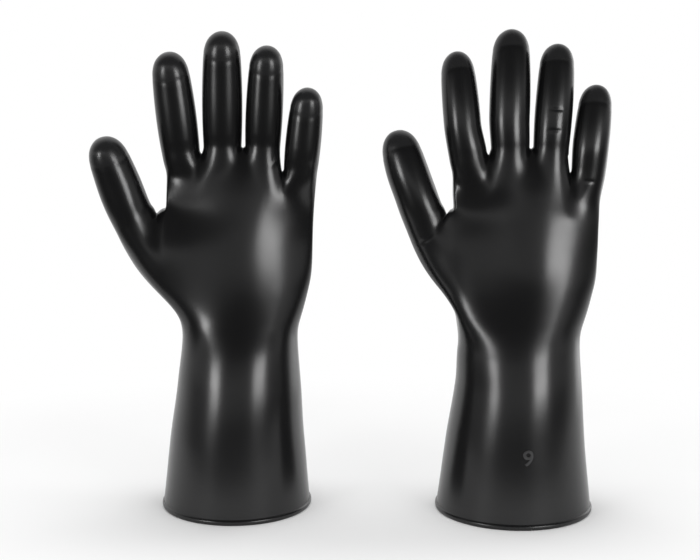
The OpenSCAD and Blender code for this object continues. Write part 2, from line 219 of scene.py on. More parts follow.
def fallen_depth(y, across, z, half_t):
    """Depth of the palm or its back, which falls away from the ridge on both sides."""
    fall, ridge = (PALM_FALL, PALM_RIDGE) if y < 0 else (BACK_FALL, BACK_RIDGE)
    off_ridge = (across + ridge) / (1 + ridge)
    set_back = EDGE_BACK * ramp(z, KNUCKLE_Z, KNUCKLE_Z - EDGE_RUN)
    if off_ridge < 0:
        off_ridge, set_back, fall = (across + ridge) / (1 - ridge), 0.0, THUMB_FALL
    full = max(0.0, 1 - off_ridge ** 2) ** fall
    fallen = ramp(z, WRIST_H, WRIST_H + FALL_RISE) * (1 - FALL_BACK * ramp(z, FALL_HEAD, KNUCKLE_Z))
    return mix(y, math.copysign(half_t, y) * full + set_back * (1 - full), fallen)


def ball_depth(y, t, z, half_t):
    """Depth of the palm with the ball of the thumb, which takes over towards the thumb's edge."""
    near_thumb = ramp(z, BALL_FOOT, BALL_LOW) * ramp(z, BALL_HEAD, BALL_HIGH)
    near_thumb *= ramp(-math.cos(t), BALL_NEAR, BALL_FULL)
    below = max(0.0, BALL_Z - z)
    front = min(BALL_SHARE * half_t, BALL_FRONT + BALL_FRONT_SLOPE * below)
    back = min(BALL_SHARE * half_t, BALL_BACK + BALL_BACK_SLOPE * below)
    return mix(y, -front if math.sin(t) > 0 else back, near_thumb)


def trunk_point(column, z):
    """Point of the forearm, wrist or palm."""
    t = column_angle(column)
    on_little_side = math.cos(t) > 0
    waist_h = LITTLE_WAIST_H if on_little_side else THUMB_WAIST_H
    rise = ramp(z, waist_h, waist_h + PALM_RISE)
    half_w = (sleeve_width(z, waist_h) if z < waist_h else mix(WRIST_W, PALM_W, rise)) / 2
    half_w += (LITTLE_OUT if on_little_side else -INDEX_IN) * ramp(z, KNUCKLE_FOOT, KNUCKLE_Z)
    half_t = half_thickness(z)
    x = half_w * math.copysign(abs(math.cos(t)) ** (2 / mix(2, PALM_SQUARE, rise)), math.cos(t))
    y = fallen_depth(-half_t * math.sin(t), x / half_w, z, half_t)
    if y > 0:
        y *= 1 + SWELL * math.exp(-((z - SWELL_Z) / SWELL_HALF_H) ** 2)
    y = ball_depth(y, t, z, half_t)
    return Vector((x, y, 0)) / drawn_in(TRUNK_POINTS) + Vector((0, 0, z))


print("Wrist's depth (mm):", round(2 * half_thickness(WRIST_H), 1))

# %% Sections of a digit
def directions(digit):
    """Along a digit at its root, across it towards the little finger, and out of its pad."""
    lean, roll = math.radians(LEAN[digit]), math.radians(ROLL[digit])
    along = Vector((math.sin(lean), 0, math.cos(lean)))
    level = Vector((math.cos(lean), 0, -math.sin(lean)))
    back = Vector((0, 1, 0))
    across = level * math.cos(roll) + back * math.sin(roll)
    pad = level * math.sin(roll) - back * math.cos(roll)
    return along, across, pad


def arc_radius(digit):
    return length(digit) / math.radians(CURL)


def spine(digit, s):
    """Point on a digit's middle line, which bends towards its pad, at distance s from its root."""
    along, _, pad = directions(digit)
    turn = max(0.0, s) / arc_radius(digit)
    bent = along * math.sin(turn) + pad * (1 - math.cos(turn))
    return ROOT[digit] + bent * arc_radius(digit) + along * min(0.0, s)


def digit_ring(digit, s, share_w, share_t=None):
    """Section of a digit, with its size as a share of the full breadth and thickness."""
    along, across, pad = directions(digit)
    turn = max(0.0, s) / arc_radius(digit)
    out = pad * math.cos(turn) - along * math.sin(turn)
    grow = 1 / drawn_in(DIGIT_POINTS)
    half_w = grow * share_w * WIDTH[digit] / 2
    half_t = grow * (share_t or share_w) * THICK[digit] / 2
    angles = [ring_angle(j) for j in range(DIGIT_POINTS)]
    return [spine(digit, s) + across * half_w * math.cos(t) + out * half_t * math.sin(t) for t in angles]


def girth(digit, s):
    """Share of the full breadth: drawn in at the root, full, and drawn in again where the tip rounds."""
    q = min(1.0, max(0.0, s / dome_foot(digit)))
    return mix(ROOT_SHARE, TIP_SHARE, q) + (2 - ROOT_SHARE - TIP_SHARE) * 2 * q * (1 - q)


print("Middle fingertip's height (mm):", round(spine("middle", length("middle")).z, 1))

# %% [markdown]
# ## The cage: circles, bridged
#
# In edit mode each ring starts as a circle primitive whose points are laid along its section, because no
# operator draws a squared ellipse. Neighbouring rings are then selected and bridged.

# %% Helpers for edit mode
def only_select(piece):
    bpy.ops.object.select_all(action="DESELECT")
    piece.select_set(True)
    bpy.context.view_layer.objects.active = piece


def open_mesh(piece, mode="VERT"):
    only_select(piece)
    bpy.ops.object.mode_set(mode="EDIT")
    bpy.ops.mesh.select_mode(type=mode)
    bpy.ops.mesh.select_all(action="DESELECT")


def close_mesh():
    bpy.ops.object.mode_set(mode="OBJECT")


def face_outwards(piece):
    open_mesh(piece, "FACE")
    bpy.ops.mesh.select_all(action="SELECT")
    bpy.ops.mesh.normals_make_consistent(inside=False)
    bpy.ops.mesh.select_all(action="DESELECT")
    close_mesh()


def cage_points():
    cage = bmesh.from_edit_mesh(bpy.context.object.data)
    cage.verts.ensure_lookup_table()
    return cage.verts


def select_points(numbers):
    bpy.ops.mesh.select_all(action="DESELECT")
    points = cage_points()
    for number in numbers:
        points[number].select = True
    bmesh.from_edit_mesh(bpy.context.object.data).select_flush_mode()
    bmesh.update_edit_mesh(bpy.context.object.data)


def draw_ring(places):
    """Adds a circle and lays its points along a section. Gives back the numbers of its points."""
    first = len(cage_points())
    bpy.ops.mesh.primitive_circle_add(vertices=len(places), radius=1.0)
    for point, place in zip(cage_points()[first:], places):
        point.co = place
    bmesh.update_edit_mesh(bpy.context.object.data)
    return list(range(first, first + len(places)))


def bridge(lower, upper):
    select_points(lower + upper)
    bpy.ops.mesh.bridge_edge_loops()


# %% [markdown]
# ## Sleeve, wrist and palm
#
# Sixteen rings carry the skin from the rim to the height where the palm divides. Nine faces on the palm's
# narrow edge, three rows of three, are taken out where the thumb will grow, and three webs are stretched over
# the top, from the front to the back, between the fingers.

# %% The trunk of the glove
THUMB_ROWS = [149.0, 172.0, 196.0, 219.5]
TRUNK_ROWS = [BEAD_H, 22.0, 42.0, 62.0, 82.0, 100.0, 112.0, WRIST_H, 130.0, 139.0] + THUMB_ROWS
WEB_COLUMNS = {"index": (10, 19), "middle": (7, 22), "ring": (4, 25)}
THUMB_COLUMNS = [13, 14, 15, 16]
CROTCH_IN, LITTLE_DROP, INDEX_UP = 2.0, 12.0, 6.0
WEB_DROP, BACK_DROP, BACK_FULL = 18.0, 7.0, 2 / 3


def gap_top(column):
    """Height of the row at the top of the thumb's gap, which runs lower on the little finger's side."""
    return THUMB_ROWS[-1] - LITTLE_DROP * ramp(math.cos(column_angle(column)), 0, 1)


def palm_top(column):
    """Height of the palm's last row, which runs at one depth below the webs and a little lower behind."""
    columns = [0] + [WEB_COLUMNS[web][0] for web in ("ring", "middle", "index")] + [TRUNK_POINTS / 2]
    heights = [WEB_Z[web] - WEB_DROP for web in ("ring", "ring", "middle", "index", "index")]
    heights[-1] += INDEX_UP
    height = float(np.interp(min(column, TRUNK_POINTS - 1 - column), columns, heights))
    return height - BACK_DROP * ramp(-math.sin(column_angle(column)), 0, BACK_FULL)


def between(column, share):
    return mix(gap_top(column), palm_top(column), share)


bpy.ops.mesh.primitive_circle_add(vertices=TRUNK_POINTS, radius=1.0)
glove = bpy.context.object
glove.name = "glove"
open_mesh(glove)
columns = range(TRUNK_POINTS)
sections = [[trunk_point(column, z) for column in columns] for z in TRUNK_ROWS[:-1]]
for share in (0.0, 0.5, 1.0):
    sections.append([trunk_point(column, between(column, share)) for column in columns])
for column in THUMB_COLUMNS:
    sections[-3][column].x += CROTCH_IN
for point, place in zip(cage_points(), sections[0]):
    point.co = place
rows = [list(columns)]
for section in sections[1:]:
    rows.append(draw_ring(section))
    bridge(rows[-2], rows[-1])
print("Trunk rows:", len(rows))

# %% The gap that the thumb grows from
first_row = TRUNK_ROWS.index(THUMB_ROWS[0])
gap_rows = rows[first_row:first_row + len(THUMB_ROWS)]
select_points([row[column] for row in gap_rows for column in THUMB_COLUMNS])
bpy.ops.mesh.delete(type="ONLY_FACE")
front, back = THUMB_COLUMNS[0], THUMB_COLUMNS[-1]
thumb_loop = [row[front] for row in reversed(gap_rows)]
thumb_loop += [gap_rows[0][column] for column in THUMB_COLUMNS[1:-1]]
thumb_loop += [row[back] for row in gap_rows]
thumb_loop += [gap_rows[-1][column] for column in reversed(THUMB_COLUMNS[1:-1])]
print("Thumb's loop (points):", len(thumb_loop))

# %% The webs between the fingers
WEB_HALF_T, WEB_LIFT = 7.0, 2.0

top = rows[-1]
web_points = {}
for digit, (front, back) in WEB_COLUMNS.items():
    next_digit = DIGITS[DIGITS.index(digit) + 1]
    index_edge = root_x[digit] + ROOT_SHARE * WIDTH[digit] / 2
    little_edge = root_x[next_digit] - ROOT_SHARE * WIDTH[next_digit] / 2
    web_x = (index_edge + little_edge) / 2
    first = len(cage_points())
    select_points([top[front], top[back]])
    bpy.ops.mesh.edge_face_add()
    bpy.ops.mesh.subdivide(number_cuts=2)
    pair = sorted(range(first, first + 2), key=lambda number: cage_points()[number].co.y)
    for number, y in zip(pair, (-WEB_HALF_T, WEB_HALF_T)):
        cage_points()[number].co = Vector((web_x, y, WEB_Z[digit] + WEB_LIFT))
    for number in (top[front], top[back]):
        cage_points()[number].co.x = web_x
    web_points[digit] = pair
bmesh.update_edit_mesh(glove.data)
print("Webs:", len(web_points))

# %% [markdown]
# ## Fingers and thumb
#
# Each digit is a tube of rings: from its loop on the palm through two rings on a curve, along its bent middle
# line and round its tip, which a grid of nine faces closes. The thumb has one ring more, at its foot, which
# reaches down over its ball. Extruding would do for a straight tube, but every ring has its own place and
# size.

# %% The loops that the digits grow from
FIRST_COLUMN = {"little": 1, "ring": 4, "middle": 7, "index": 10}
FINGER_COLUMNS = 4


def finger_loop(digit):
    """Points round a finger: its front, its index side, its back and its little finger's side."""
    first = FIRST_COLUMN[digit]
    front_row = [top[first + m] for m in range(FINGER_COLUMNS)]
    back_row = [top[TRUNK_POINTS - 1 - first - m] for m in range(FINGER_COLUMNS)]
    index_edge = [top[TRUNK_POINTS // 2 - 1], top[TRUNK_POINTS // 2]]
    little_edge = [top[0], top[-1]]
    index_side = web_points.get(DIGITS[DIGITS.index(digit) - 1], index_edge)
    little_side = web_points.get(digit, little_edge)
    return front_row + index_side + back_row[::-1] + little_side[::-1]


loops = {digit: finger_loop(digit) for digit in DIGITS[1:]}
loops["thumb"] = thumb_loop
print("Points a loop:", {digit: len(loop) for digit, loop in loops.items()})

# %% Helpers for the rings from a digit's loop to its root
ROOT_KNEE, SIDE_KNEE = 0.5, 0.4
CURVE_STEPS = (1 / 3, 2 / 3)
BALL_DOWN, BALL_HALF_W, BALL_HALF_T, CROTCH_UP = 32.0, 16.4, 16.5, 5.0
FOOT_DOWN, FOOT_INSIDE = 12.0, 3.0


def foot_ring(digit):
    """A digit's lowest ring: the thumb's reaches lower on its outer side than beside the palm."""
    if digit != "thumb":
        return digit_ring(digit, 0.0, girth(digit, 0.0))
    ring = []
    for j in range(DIGIT_POINTS):
        inner = max(0.0, math.cos(ring_angle(j)))
        ring.append(digit_ring(digit, -mix(FOOT_DOWN, FOOT_INSIDE, inner), girth(digit, 0.0))[j])
    return ring


def root_knees(digit, loop, ring):
    """Points that the skin is drawn towards between a digit's loop and its lowest ring."""
    along, across, pad = directions(digit)
    centre = ROOT["thumb"] - along * BALL_DOWN
    knees = []
    for j, (start, end) in enumerate(zip(loop, ring)):
        t = ring_angle(j)
        if digit != "thumb":
            share = mix(SIDE_KNEE, ROOT_KNEE, math.sin(t) ** 2)
            knees.append(end - along * ((end - start).dot(along) * share))
            continue
        ball = centre + across * BALL_HALF_W * math.cos(t) + pad * BALL_HALF_T * math.sin(t)
        inside = (start + end) / 2 + Vector((0, 0, CROTCH_UP))
        knees.append(inside.lerp(ball, (1 - math.cos(t)) / 2))
    return knees


def root_sections(digit, loop):
    starts = [cage_points()[number].co.copy() for number in loop]
    foot = foot_ring(digit)
    corners = list(zip(starts, root_knees(digit, starts, foot), foot))
    sections = []
    for q in CURVE_STEPS:
        sections.append([a * (1 - q) ** 2 + k * 2 * q * (1 - q) + b * q * q for a, k, b in corners])
    return sections + [foot] if digit == "thumb" else sections


# %% Rings along a digit and round its tip
ROOT_CUT, ROOT_HEAD, RING_STEP = 3.0, 11.0, 5.0
DOME_ANGLES = [math.radians(35), math.radians(62)]
DOME_STRETCH, DOME_FULL = 1.02, 2.5


def shaft_cut(digit):
    """Where a digit's skin is divided, half way along its shaft."""
    return (BASE_FOLD + mid_foot(digit)) / 2


def stations(digit):
    """Distances of a digit's rings from its root, up to where its tip rounds."""
    cut = shaft_cut(digit)
    beside_cut = (cut - ROOT_HEAD) / 2
    near = [0.0, ROOT_CUT, 2 * ROOT_CUT, ROOT_HEAD, cut - beside_cut, cut, cut + beside_cut]
    steps = max(2, round((dome_foot(digit) - near[-1]) / RING_STEP))
    return near + [mix(near[-1], dome_foot(digit), (i + 1) / steps) for i in range(steps)]


def dome_rise(digit, angle):
    return DOME_STRETCH * dome_length(digit) * math.sin(angle)


def dome_ring(digit, angle):
    """Section of the rounded tip, which stays fuller in thickness than in breadth."""
    narrow = TIP_SHARE * math.cos(angle)
    full = TIP_SHARE * (1 - math.sin(angle) ** DOME_FULL) ** (1 / DOME_FULL)
    return digit_ring(digit, dome_foot(digit) + dome_rise(digit, angle), narrow, full)


def grow_digit(digit, loop):
    sections = root_sections(digit, loop)
    sections += [digit_ring(digit, s, girth(digit, s)) for s in stations(digit)]
    sections += [dome_ring(digit, angle) for angle in DOME_ANGLES]
    last = loop
    for section in sections:
        ring = draw_ring(section)
        bridge(last, ring)
        last = ring
    select_points(last)
    first = len(cage_points())
    bpy.ops.mesh.fill_grid(span=3)
    flat = spine(digit, dome_foot(digit) + dome_rise(digit, DOME_ANGLES[-1]))
    peak = spine(digit, dome_foot(digit) + DOME_STRETCH * dome_length(digit))
    for point in cage_points()[first:]:
        point.co += peak - flat
    bmesh.update_edit_mesh(glove.data)


for digit in DIGITS:
    grow_digit(digit, loops[digit])
bpy.ops.mesh.select_all(action="SELECT")
bpy.ops.mesh.delete_loose(use_verts=True, use_edges=True, use_faces=False)
close_mesh()
face_outwards(glove)
print("Cage:", len(glove.data.vertices), "points,", len(glove.data.polygons), "faces")

# %% [markdown]
# ## From cage to skin
#
# A remesh or a sculpt could round the cage too, but Subdivision Surface keeps its rows, which the cuts
# between the pieces follow later. It is applied, because the next steps work on the fine points.

# %% Subdivision rounds the cage
SKIN_LEVELS = 3


def modify(piece, kind, **settings):
    """Adds a modifier to a piece, sets it up and applies it."""
    only_select(piece)
    bpy.ops.object.modifier_add(type=kind)
    modifier = piece.modifiers[-1]
    for name, value in settings.items():
        setattr(modifier, name, value)
    bpy.ops.object.modifier_apply(modifier=modifier.name)


modify(glove, "SUBSURF", levels=SKIN_LEVELS, render_levels=SKIN_LEVELS)
print("Skin:", len(glove.data.polygons), "faces")

# %% [markdown]
# ## Places on the skin
#
# From here on the skin is shaped point by point, as with a sculptor's brush, by where a point lies on a
# digit: how far along it, across it and out towards its pad. A formula does the same each time, and numpy
# reads and writes all points at once.

# %% Helpers for places on the skin
def bell(distance, width):
    return np.exp(-(distance / width) ** 2)


def digit_places(points, digit):
    """Of each point: its distance along a digit, across it, and out towards its pad."""
    along, across, pad = (np.array(v) for v in directions(digit))
    radius = arc_radius(digit)
    offset = points - np.array(ROOT[digit])
    rise, out = offset @ along, offset @ pad
    turn = np.arctan2(rise, radius - out)
    bent = rise > 0
    s = np.where(bent, turn * radius, rise)
    v = np.where(bent, radius - np.hypot(rise, radius - out), out)
    return s, offset @ across, v


def nearest_digit(points):
    """Of each point: the number of the digit that it is nearest to, and its distance along that digit."""
    spread, reach = [], []
    for digit in DIGITS:
        s, q, v = digit_places(points, digit)
        spread.append(np.hypot(q / WIDTH[digit], v / THICK[digit]) + np.maximum(0, -s) / WIDTH[digit])
        reach.append(s)
    owner = np.argmin(np.array(spread), axis=0)
    return owner, np.array(reach)[owner, np.arange(len(points))]


def read_vectors(items, name):
    vectors = np.empty(3 * len(items), np.float32)
    items.foreach_get(name, vectors)
    return vectors.reshape(-1, 3).astype(float)


def read_points(piece):
    return read_vectors(piece.data.vertices, "co")


def read_normals(piece):
    return read_vectors(piece.data.vertices, "normal")


def write_points(piece, points):
    piece.data.vertices.foreach_set("co", points.astype(np.float32).ravel())
    piece.data.update()


# %% [markdown]
# ## Numbers for the pieces
#
# A glove bends at its flex lines, so each one will be cut into a skin, five stems and five caps. Every face
# gets its piece's number now, while the rows still lie square to the digits, and keeps it as an attribute.

# %% Number the faces
TUBE_SHARE = 0.64

centres = read_vectors(glove.data.polygons, "center")
owner, _ = nearest_digit(centres)
shares = np.zeros(len(owner), np.int32)
for number, digit in enumerate(DIGITS):
    s, q, v = digit_places(centres, digit)
    tube = (owner == number) & (s > ROOT_CUT) & (np.hypot(q / WIDTH[digit], v / THICK[digit]) < TUBE_SHARE)
    shares[tube] = 2 * number + 1 + (s[tube] > shaft_cut(digit))
glove.data.attributes.new("piece", "INT", "FACE").data.foreach_set("value", shares)
print("Faces a piece:", np.bincount(shares).tolist())

# %% [markdown]
# ## Soft roots
#
# Wet rubber runs together where a digit meets the palm, so no line shows there. The Smooth modifier evens
# out the points, and a vertex group says where and how much. Beside the thumb it works in depth alone at
# first, so that the outline stays as it was measured.

# %% Where the skin is soft
# along a digit, from its root: where a soft stretch starts, is full, is still full and ends
KNUCKLE_BAND, OUTER_BAND = (-36, -22, -3, 5), (-52, -32, 2, 18)
BALL_BAND, ROOT_BAND, HEEL_BAND = (-75, -50, 4, 14), (-40, -20, 4, 18), (-115, -80, -22, 0)
BESIDE_FOOT, BESIDE_END, BESIDE_DROP = (-105, -70), (22, 4), 24.0
# across the thumb towards the little finger, as shares of its breadth and as distances
BALL_ACROSS, HEEL_ACROSS, DROP_ACROSS = (1.3, 0.8), (1.9, 1.1), (0.45, 0.8)
OUTER_SIDE, ROOT_ACROSS = (-2, -10), (12, 2)
# across the palm
EDGE_X, OUTER_X = (42, 50), (30, 42)
# how squarely the skin faces the front or the back
FACING, FACING_LITTLE, FACING_BROAD = (0.3, 0.7), (0.1, 0.35), (0.35, 0.7)


def band(values, foot, full, still, end):
    return ramp(values, foot, full) * ramp(values, end, still)


points = read_points(glove)
facing = np.abs(read_normals(glove)[:, 1])
_, reach = nearest_digit(points)
s, q, _ = digit_places(points, "thumb")
q_share = q / WIDTH["thumb"]
faces_out = np.maximum(ramp(facing, *FACING), ramp(np.abs(points[:, 0]), *EDGE_X))
knuckles = band(reach, *KNUCKLE_BAND) * faces_out
outer = ramp(points[:, 0], *OUTER_X) * band(reach, *OUTER_BAND)
ball = band(s, *BALL_BAND) * ramp(q_share, *BALL_ACROSS) * np.maximum(faces_out, ramp(q, *OUTER_SIDE))
thumb_root = band(s, *ROOT_BAND) * ramp(q, *ROOT_ACROSS)
heel = band(s, *HEEL_BAND) * ramp(q_share, *HEEL_ACROSS)
beside = ramp(s, *BESIDE_FOOT) * ramp(s + BESIDE_DROP * ramp(q_share, *DROP_ACROSS), *BESIDE_END)
beside *= ramp(q_share, *HEEL_ACROSS)
off_outline = ramp(facing, *FACING_LITTLE)
print("Points off the outline:", int((off_outline > 0.5).sum()))

# %% Soften the roots of the digits
SOFT_FACTOR, SOFT_LEAST = 0.5, 0.01
SOFT_STEPS, RELIEF_STEPS, HEEL_STEPS, ROOT_STEPS = 24, 70, 140, 45


def soften(softness, steps, relief_only):
    """Smooth the points by their softness, in depth alone where only the relief is softened."""
    soft = glove.vertex_groups.new(name="soft")
    for number in np.flatnonzero(softness > SOFT_LEAST):
        soft.add([int(number)], float(softness[number]), "REPLACE")
    axes = {"use_x": not relief_only, "use_z": not relief_only}
    modify(glove, "SMOOTH", factor=SOFT_FACTOR, iterations=steps, vertex_group="soft", **axes)
    bpy.ops.object.vertex_group_remove(all=True)
    print("Softened points:", int((softness > SOFT_LEAST).sum()))


soften(np.maximum(knuckles, ball), SOFT_STEPS, False)
soften(np.maximum(beside, outer) * ramp(facing, *FACING_BROAD), RELIEF_STEPS, True)
soften(np.maximum(heel, outer) * off_outline, HEEL_STEPS, False)
soften(thumb_root * off_outline, ROOT_STEPS, False)

# %% [markdown]
# ## Cap lines, and the web beside the thumb
#
# The former leaves a faint line round each tip, where its cap was set on. A bevel could cut it, but a shallow
# groove with soft sides is easier as a bell curve across the line, pressed in along the normals. The web
# beside the thumb is stretched thin and high: there the depth is scaled, so that front and back come closer,
# and the web's edge is drawn up.

# %% The cap line round each tip
CAP_FRONT, CAP_BACK = 19.0, 12.5
CAP_DEPTH, CAP_WIDTH, CAP_EDGE = 0.12, 2.0, 1.0

points, normals = read_points(glove), read_normals(glove)
owner, _ = nearest_digit(points)
press, on_cap = np.zeros(len(points)), np.zeros(len(points))
for number, digit in enumerate(DIGITS):
    s, _, v = digit_places(points, digit)
    line = length(digit) - mix(CAP_BACK, CAP_FRONT, np.clip(v / THICK[digit] + 0.5, 0, 1))
    press += np.where(owner == number, CAP_DEPTH * bell(s - line, CAP_WIDTH), 0)
    on_cap += np.where(owner == number, ramp(s - line, -CAP_EDGE, CAP_EDGE), 0)
write_points(glove, points - normals * press[:, None])
glove.data.attributes.new("cap", "FLOAT", "POINT").data.foreach_set("value", on_cap.astype(np.float32))
print("Deepest cap line (mm):", round(press.max(), 2))

# %% A dimple beside the thumb, where the web thins
DIMPLE_X, DIMPLE_Z, DIMPLE_SHARE = -52.0, 224.0, 0.34
DIMPLE_NEAR, DIMPLE_FAR, DIMPLE_HALF_H = 11.0, 36.0, 18.0

points = read_points(glove)
aside, up = points[:, 0] - DIMPLE_X, points[:, 2] - DIMPLE_Z
thinner = DIMPLE_SHARE * bell(up, DIMPLE_HALF_H) * bell(aside, np.where(aside < 0, DIMPLE_NEAR, DIMPLE_FAR))
points[:, 1] *= 1 - thinner
write_points(glove, points)
print("Deepest dimple (share):", round(thinner.max(), 2))

# %% The web beside the thumb is drawn up
GAP_X, GAP_Z, GAP_UP, GAP_REACH, GAP_STRETCH = -58.0, 215.0, 5.0, 8.0, 1.3

points = read_points(glove)
drawn_up = GAP_UP * bell(np.hypot((points[:, 0] - GAP_X) / GAP_STRETCH, points[:, 2] - GAP_Z), GAP_REACH)
points[:, 2] += drawn_up
write_points(glove, points)
print("Web up by (mm):", round(drawn_up.max(), 1))

# %% [markdown]
# ## How the two gloves differ
#
# Two dipped gloves are never quite alike. Shares and shifts of the breadth are set at a few heights and eased
# between them, each digit is set aside, lengthened or slimmed by a few millimetres, and the left fingers are
# straighter. Wear has left a few short creases on the back of the right glove.

# %% Sets of the sleeves and the digits
SET_HEIGHTS = [BEAD_H, 50.0, 95.0, WRIST_H, 138.0, 165.0, 192.0, 225.0, 248.0]
SLEEVE_SHARES = {
    "left": [1.008, 1.018, 1.016, 1.01, 1.003, 1.016, 0.998, 1.002, 1.0],
    "right": [1.05, 1.046, 1.036, 1.052, 1.058, 1.005, 0.992, 0.985, 1.005],
}
SLEEVE_SHIFTS = {
    "left": [-0.6, -0.4, 0.95, 1.3, 1.0, -0.4, 0.1, 0.0, 0.3],
    "right": [0.0, -0.5, 0.4, -0.5, -1.2, 0.0, -0.4, -0.8, 0.0],
}
# of each digit: how far it is set aside, and how much longer and broader it is
DIGIT_SETS = {
    "left": {"thumb": (-2.6, -0.3, 0.0)},
    "right": {
        "thumb": (1.0, 3.4, 0.0), "index": (-0.8, 0.2, -2.6), "middle": (-1.4, 1.4, 0.0),
        "ring": (-0.2, 1.2, 0.0), "little": (-0.9, 2.0, 0.0),
    },
}
# where a set takes hold: along the thumb and across it, and along a finger
THUMB_SET, THUMB_SET_ACROSS, FINGER_SET, STRAIGHT_SET = (-75, 5), (0.85, 0.45), (-4, 22), (-2, 10)
print("Set heights:", len(SET_HEIGHTS))

# %% Fit a glove to its sets
def smooth_steps(z, values):
    """Value at each height, eased from one of the set heights to the next."""
    found = np.full(len(z), values[0], float)
    for i, (foot, head) in enumerate(zip(SET_HEIGHTS, SET_HEIGHTS[1:])):
        found += (values[i + 1] - values[i]) * ramp(z, foot, head)
    return found


def set_digits(points, owner, sets):
    for digit, (aside, longer, broader) in sets.items():
        s, q, _ = digit_places(points, digit)
        if digit == "thumb":
            grown = ramp(s, *THUMB_SET) * ramp(q / WIDTH[digit], *THUMB_SET_ACROSS)
        else:
            grown = np.where(owner == DIGITS.index(digit), ramp(s, *FINGER_SET), 0)
        points[:, 0] += grown * (aside + broader * np.clip(q / WIDTH[digit] + 0.5, 0, 1))
        points[:, 2] += grown * longer * np.clip(s / length(digit), 0, 1)


def straighten_fingers(points, owner):
    """Brings the lower half of each finger forwards, and leaves its tip where it is."""
    for digit in DIGITS[1:]:
        s, _, _ = digit_places(points, digit)
        along = np.clip(s / length(digit), 0, 1)
        forwards = length(digit) * math.radians(CURL) / 2 * along * (1 - along) ** 2 * ramp(s, *STRAIGHT_SET)
        points[:, 1] -= np.where(owner == DIGITS.index(digit), forwards, 0)


def fitted(points, side):
    points = points.copy()
    owner, _ = nearest_digit(points)
    set_digits(points, owner, DIGIT_SETS[side])
    if side == "left":
        straighten_fingers(points, owner)
    points[:, 0] *= smooth_steps(points[:, 2], SLEEVE_SHARES[side])
    points[:, 0] += smooth_steps(points[:, 2], SLEEVE_SHIFTS[side])
    return points


# %% Creases on the back of the right glove
CREASES = {
    "ring": [(12.0, 0.0, 4.0, 0.0), (26.0, 1.0, 4.0, 0.0)],
    "thumb": [(-9.0, -2.0, 7.0, 0.02)],
    "little": [(-6.0, 0.0, 3.5, 0.0)],
}
CREASE_DEPTH, CREASE_WIDTH = 0.3, 1.1


def creased(points, normals):
    """Short grooves across a digit's back: how far up and aside, half their length, and their bow."""
    press = np.zeros(len(points))
    for digit, lines in CREASES.items():
        s, q, v = digit_places(points, digit)
        for up, aside, half, bow in lines:
            groove = bell(s - up - bow * (q - aside) ** 2, CREASE_WIDTH) * bell(q - aside, half)
            press += np.where(v < 0, CREASE_DEPTH * groove, 0)
    return points - normals * press[:, None]


print("Creases:", sum(len(lines) for lines in CREASES.values()))

# %% [markdown]
# ## Left and right
#
# The right glove is the left one's mirror image, so it is a copy with its front and back exchanged, whose
# normals are then made to point outwards again. Each copy leans and stands as the frame says: the bead gives
# its place and the wrist's joint gives its lean.

# %% Two gloves in their places
SIDES = ["left", "right"]


def copy_of(piece, name):
    only_select(piece)
    bpy.ops.object.duplicate()
    bpy.context.object.name = name
    return bpy.context.object


def place_of(side):
    low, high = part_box(side + "_cuff_bead")
    wrist = joints[side + "_wrist_flex"]["pos_m"]
    middle = (low + high) / 2
    lean = (wrist[0] - middle.x) / ((WRIST_H - BEAD_H) * MM)
    return middle.x, middle.y, lean


def stood(points, side):
    """Points of the glove's own frame, in metres, where that glove stands."""
    x, y, lean = place_of(side)
    aside, forth, up = (np.asarray(points, float) * MM).T
    flip = -1 if side == "right" else 1
    return np.stack([aside + lean * (up - BEAD_H * MM) + x, flip * forth + y, up], axis=1)


skins = {}
for side in SIDES:
    skin = copy_of(glove, side + "_skin")
    points = read_points(skin)
    if side == "right":
        points = creased(points, read_normals(skin))
    write_points(skin, stood(fitted(points, side), side))
    face_outwards(skin)
    skins[side] = skin
    print(side, "stands at", [round(x, 4) for x in place_of(side)])

# %% [markdown]
# ## Cut at the flex lines
#
# A piece can span one joint. The skin is cut where nothing bends: just above each root, and half way along
# each shaft. The cuts follow rows of faces by their numbers, so both sides share their points and no seam
# shows.

# %% Separate the digits
def separate(piece, share, name):
    shares = np.empty(len(piece.data.polygons), np.int32)
    piece.data.attributes["piece"].data.foreach_get("value", shares)
    piece.data.polygons.foreach_set("select", shares == share)
    only_select(piece)
    bpy.ops.object.mode_set(mode="EDIT")
    bpy.ops.mesh.select_mode(type="FACE")
    bpy.ops.mesh.separate(type="SELECTED")
    close_mesh()
    part = next(o for o in bpy.context.selected_objects if o != piece)
    part.name = name
    return part


stems, caps = {}, {}
for side in SIDES:
    for number, digit in enumerate(DIGITS):
        name = side + "_" + digit
        stems[name] = separate(skins[side], 2 * number + 1, name + "_stem")
        caps[name] = separate(skins[side], 2 * number + 2, name + "_cap")
    print(side, "skin keeps", len(skins[side].data.polygons), "faces")
bpy.data.objects.remove(glove)

# %% [markdown]
# ## The wall
#
# Solidify gives the sheet its wall, inwards, so that the outside stays as it is. Its rims close the cuts, and
# smooth shading stops at their edges.

# %% Give every piece its wall
SMOOTH_BELOW, INWARDS = math.radians(50), -1.0

sheets = [*skins.values(), *stems.values(), *caps.values()]
for piece in sheets:
    modify(piece, "SOLIDIFY", thickness=WALL * MM, offset=INWARDS)
    bpy.ops.object.shade_smooth_by_angle(angle=SMOOTH_BELOW)
print("Largest piece:", max(2 * len(piece.data.polygons) for piece in sheets), "triangles")

# %% [markdown]
# ## The rolled rim
#
# The sheet's edge is rolled up into a bead while it is tacky. A profile could be spun, but a torus is that
# roll already: it is flattened where it stands, and narrowed, because the soft roll lies close to the sleeve.

# %% Rim rolls
ROLL_TURNS, ROLL_SIDES, ROLL_NARROW = 144, 24, 0.75
RIM_R, FOOT_Z = (CUFF_D - WALL) / 2 * MM, BEAD_H / 2 * MM

